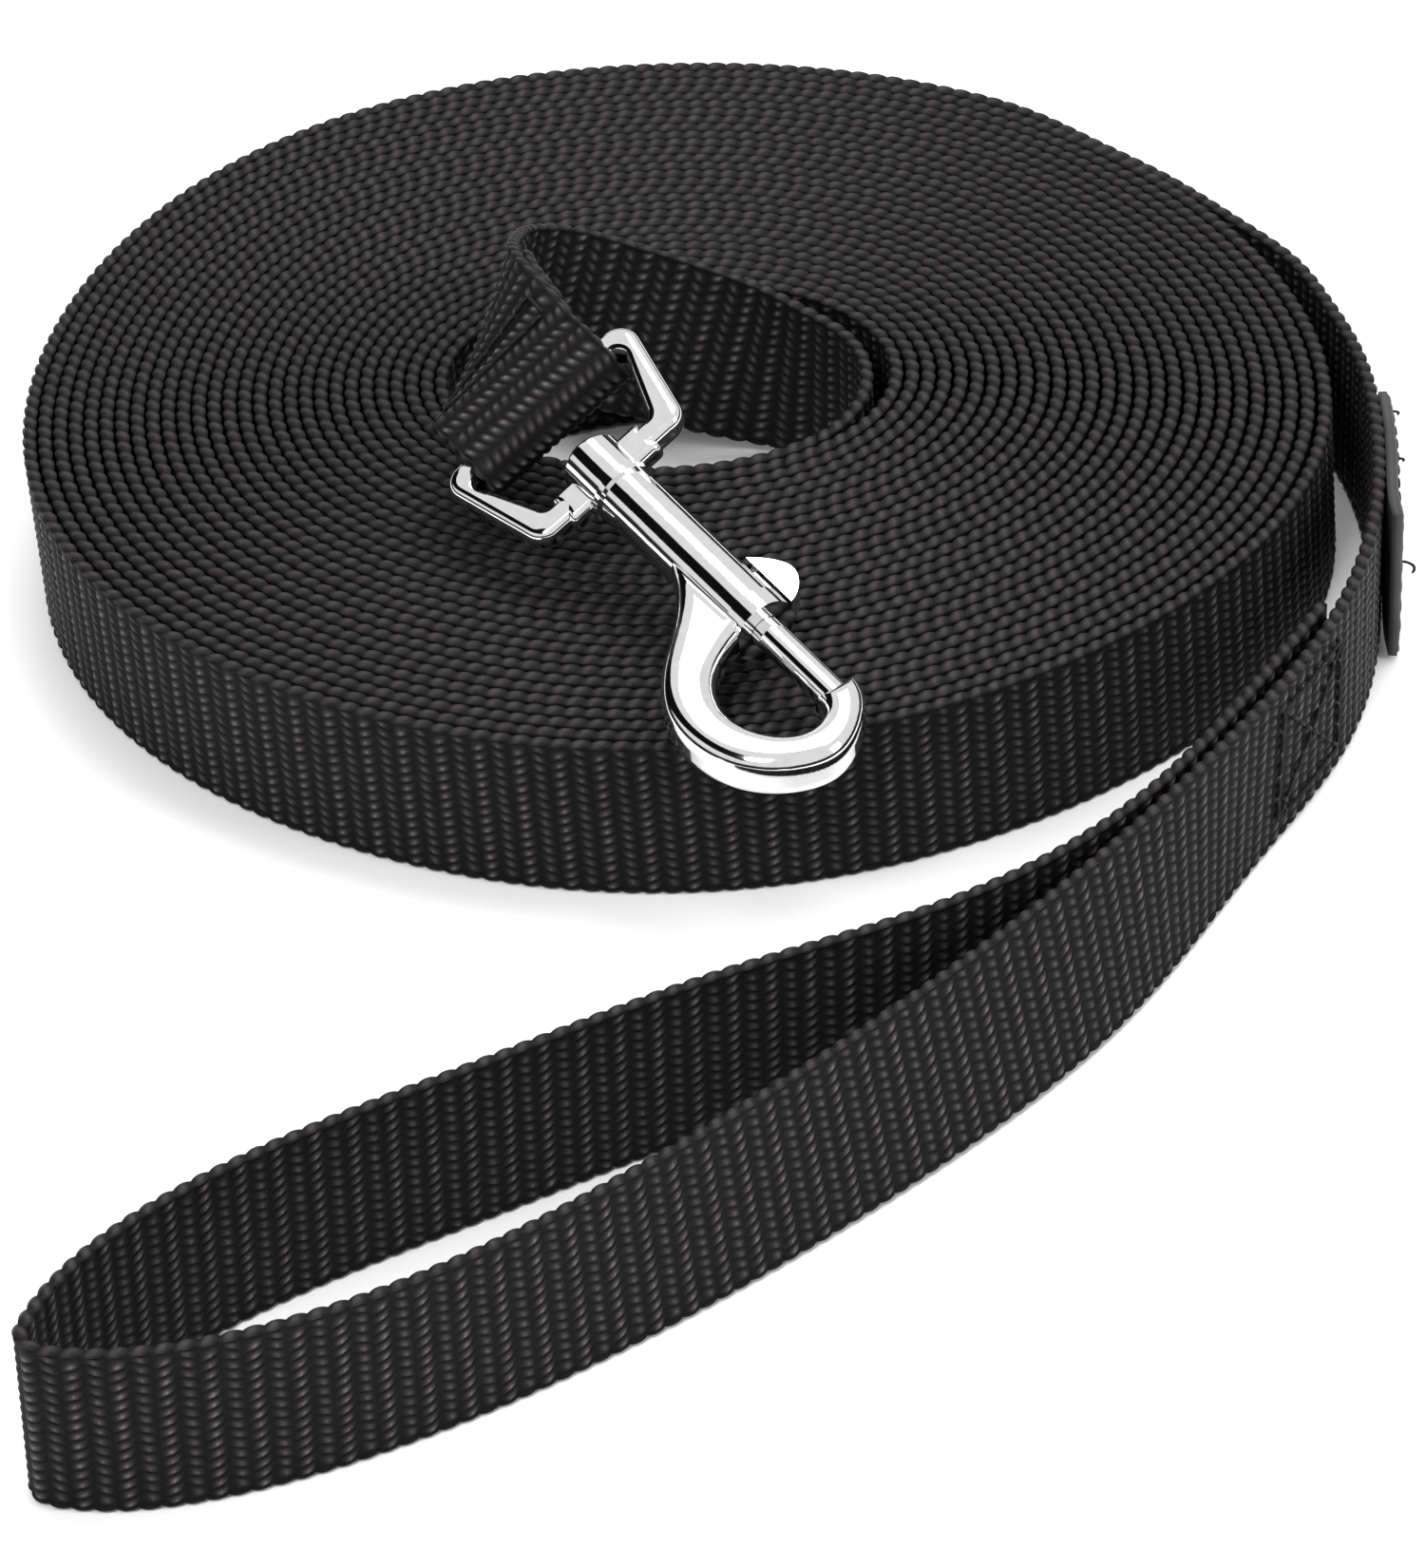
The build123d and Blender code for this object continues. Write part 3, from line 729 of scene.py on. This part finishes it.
def label_mesh():
    """The patch as an outer skin with a dimpled seam, an inner skin and a rim between them."""
    us = np.linspace(-1, 1, 61)
    ws = np.linspace(-1, 1, 41)
    outer, inner = [], []
    for u in us:
        for w in ws:
            edge = max(abs(u) ** 40, abs(w) ** 30)
            from_end = (1 - abs(u)) * LABEL_LENGTH / 2 - SEAM_LONG_INSET
            from_side = (1 - abs(w)) * LABEL_HALF - SEAM_SIDE_INSET
            seam = math.exp(-((from_end / SEAM_WIDTH) ** 2)) + math.exp(-((from_side / SEAM_WIDTH) ** 2))
            puff = LABEL_RIM * (1 - edge) ** 0.5 - 0.10 * min(seam, 1.0)
            puff += 0.05 * math.sin(u * 7.0 + w * 2.0) * (1 - edge)
            place = s_label + LABEL_LENGTH * (u + 1) / 2
            flare = label_flare(place)
            outer.append(on_webbing(place, w * LABEL_HALF, LABEL_LIFT + puff + flare)[0])
            inner.append(on_webbing(place, w * LABEL_HALF, SURFACE - 0.02 + flare)[0])
    cols, rows = len(ws), len(us)
    verts = np.array(outer + inner)
    base = len(outer)
    faces = []
    for i in range(rows - 1):
        for j in range(cols - 1):
            a = i * cols + j
            b, c, d = a + 1, a + cols + 1, a + cols
            faces.append([d, c, b, a])
            faces.append([a + base, b + base, c + base, d + base])
    rim = list(range(cols))
    rim += [i * cols + cols - 1 for i in range(1, rows)]
    rim += [(rows - 1) * cols + j for j in range(cols - 2, -1, -1)]
    rim += [i * cols for i in range(rows - 2, 0, -1)]
    for p, q in zip(rim, rim[1:] + rim[:1]):
        faces.append([p, q, q + base, p + base])
    return make_mesh("label_patch_cover", verts * MM, faces)


dress(label_mesh(), LABEL, ["label_patch"])
runs = stitch_box(
    s_label + LABEL_LENGTH / 2,
    LABEL_LENGTH - 2 * SEAM_LONG_INSET,
    2 * LABEL_HALF - 2 * SEAM_SIDE_INSET,
    LABEL_LIFT + LABEL_RIM,
    cross=False,
    bulge=label_flare,
)


def loose_end(s, w, drop, out):
    """A cut thread that stands out from the label's seam and hangs."""
    start = on_webbing(s, w, LABEL_LIFT + LABEL_RIM + label_flare(s))[0]
    _, _, face, travel = ribbon(np.array([s]))
    u = np.linspace(0, 1, 10)[:, None]
    fall = np.array([0, 0, -1.0]) * drop * u**1.5
    return start + face * out * np.sin(u * 2.2) + fall + travel * out * 0.5 * u


runs.append(loose_end(s_label + 22.3, 7.9, 0.7, 0.8))
runs.append(loose_end(s_label + 13.0, 7.9, 0.6, 0.7))
runs.append(loose_end(s_label + 1.7, 2.0, 2.0, 1.5))
dress(join_tubes("label_stitches", runs, LABEL_THREAD_RADIUS), THREAD, ["label_stitching"])

# ---------------------------------------------------------------- the snap's metal
METAL = {
    "swivel_eye": CHROME,
    "swivel_rivet": CHROME,
    "swivel_washer": CHROME,
    "snap_body": CHROME,
    "spring_plug": CHROME,
    "bolt_pin": CHROME,
    "thumb_knob": CHROME,
    "bolt_spring": STEEL,
}
for name, metal in METAL.items():
    part = frame["nodes"][name]
    part.data.materials.clear()
    part.data.materials.append(metal)

# ---------------------------------------------------------------- floor, light, camera
bpy.ops.mesh.primitive_plane_add(size=6.0, location=(0, 0, -0.0001))
floor = bpy.context.object
floor.name = "floor"
mat, tree, bsdf = material("floor_white")
bsdf.inputs["Base Color"].default_value = (0.93, 0.93, 0.93, 1)
bsdf.inputs["Roughness"].default_value = 0.9
bsdf.inputs["Specular IOR Level"].default_value = 0.2
floor.data.materials.append(mat)

world = bpy.data.worlds.new("studio")
bpy.context.scene.world = world
world.use_nodes = True
sky = world.node_tree
background = sky.nodes["Background"]
background.inputs["Strength"].default_value = 0.80
direction = node(sky, "ShaderNodeTexCoord")
split = node(sky, "ShaderNodeSeparateXYZ")
sky.links.new(direction.outputs["Generated"], split.inputs["Vector"])

# The sky is dark near the horizon and white above it.
band = ramp(
    sky,
    split.outputs["Z"],
    [
        (0.0, (0.02, 0.02, 0.02)),
        (0.20, (0.03, 0.03, 0.03)),
        (0.26, (1.0, 1.0, 1.0)),
        (1.0, (1.0, 1.0, 1.0)),
    ],
)

# A long dark card hangs over the snap, in line with it, so that the bright metal carries
# one thin dark line along its length.
CARD_NEAR_EDGE = math.radians(-5.0)
CARD_FAR_EDGE = math.radians(22.0)
CARD_REACH = math.radians(50.0)
CARD_CENTRE = Vector((-0.641, 0.120, 0.761)).normalized()
card_across = Vector(ALONG).cross(CARD_CENTRE).normalized()
unit = node(sky, "ShaderNodeVectorMath", operation="NORMALIZE")
sky.links.new(direction.outputs["Generated"], unit.inputs[0])


def aimed(way, operation, limit):
    """1 where the looked-at direction's share along `way` passes the limit."""
    share = node(sky, "ShaderNodeVectorMath", operation="DOT_PRODUCT")
    share.inputs[1].default_value = way
    sky.links.new(unit.outputs[0], share.inputs[0])
    test = node(sky, "ShaderNodeMath", operation=operation)
    test.inputs[1].default_value = limit
    sky.links.new(share.outputs["Value"], test.inputs[0])
    return test.outputs[0]


card = node(sky, "ShaderNodeMath", operation="MULTIPLY")
sky.links.new(aimed(CARD_CENTRE, "GREATER_THAN", math.cos(CARD_REACH)), card.inputs[0])
inside = node(sky, "ShaderNodeMath", operation="MULTIPLY")
sky.links.new(aimed(card_across, "LESS_THAN", math.sin(CARD_FAR_EDGE)), inside.inputs[0])
sky.links.new(aimed(card_across, "GREATER_THAN", math.sin(CARD_NEAR_EDGE)), inside.inputs[1])
sky.links.new(inside.outputs[0], card.inputs[1])
cover = node(sky, "ShaderNodeMix", data_type="RGBA")
sky.links.new(card.outputs[0], cover.inputs[0])
sky.links.new(band, cover.inputs[6])
cover.inputs[7].default_value = (0.005, 0.005, 0.005, 1.0)
sky.links.new(cover.outputs[2], background.inputs["Color"])


target = Vector(BOSS * MM)


def area(name, where, size, power):
    """A rectangular lamp that faces the snap's boss."""
    light = bpy.data.lights.new(name, "AREA")
    light.shape = "RECTANGLE"
    light.size, light.size_y = size
    light.energy = power
    o = bpy.data.objects.new(name, light)
    bpy.context.scene.collection.objects.link(o)
    o.location = where
    o.rotation_euler = (target - Vector(where)).to_track_quat("-Z", "Y").to_euler()


area("front_key", (-0.35, -0.75, 0.95), (0.35, 0.35), 9.0)
area("top_soft", (0.15, 0.30, 0.95), (0.8, 0.5), 8.0)
area("right_soft", (0.85, -0.35, 0.55), (0.3, 0.5), 4.0)

# The camera, placed from the coil's centre in mm.
ELEVATION = math.radians(35.995)
ROLL = math.radians(-2.003)
CAMERA_FROM_COIL = Vector((2.12, -713.52, 481.46))
SENSOR = 36.0
FOCAL_PX = 7930.88
IMAGE_HEIGHT = 1650
coil_origin = Vector((COIL[0], COIL[1], 0.0))
forward = Vector((0, math.cos(ELEVATION), -math.sin(ELEVATION)))
up0 = Vector((0, math.sin(ELEVATION), math.cos(ELEVATION)))
right0 = Vector((1, 0, 0))
right = right0 * math.cos(ROLL) + up0 * math.sin(ROLL)
up = up0 * math.cos(ROLL) - right0 * math.sin(ROLL)
cam_data = bpy.data.cameras.new("camera")
cam_data.sensor_width = SENSOR
cam_data.sensor_fit = "AUTO"
cam_data.lens = FOCAL_PX / IMAGE_HEIGHT * SENSOR
cam_data.clip_start = 0.05
cam = bpy.data.objects.new("camera", cam_data)
bpy.context.scene.collection.objects.link(cam)
rot = Matrix((right, up, -forward)).transposed()
cam.matrix_world = Matrix.Translation((coil_origin + CAMERA_FROM_COIL) * MM) @ rot.to_4x4()
bpy.context.scene.camera = cam
bpy.context.scene.view_settings.view_transform = "Standard"

print("webbing length mm", round(LENGTH, 1), {k: round(length_at(v), 1) for k, v in MARKS.items()})
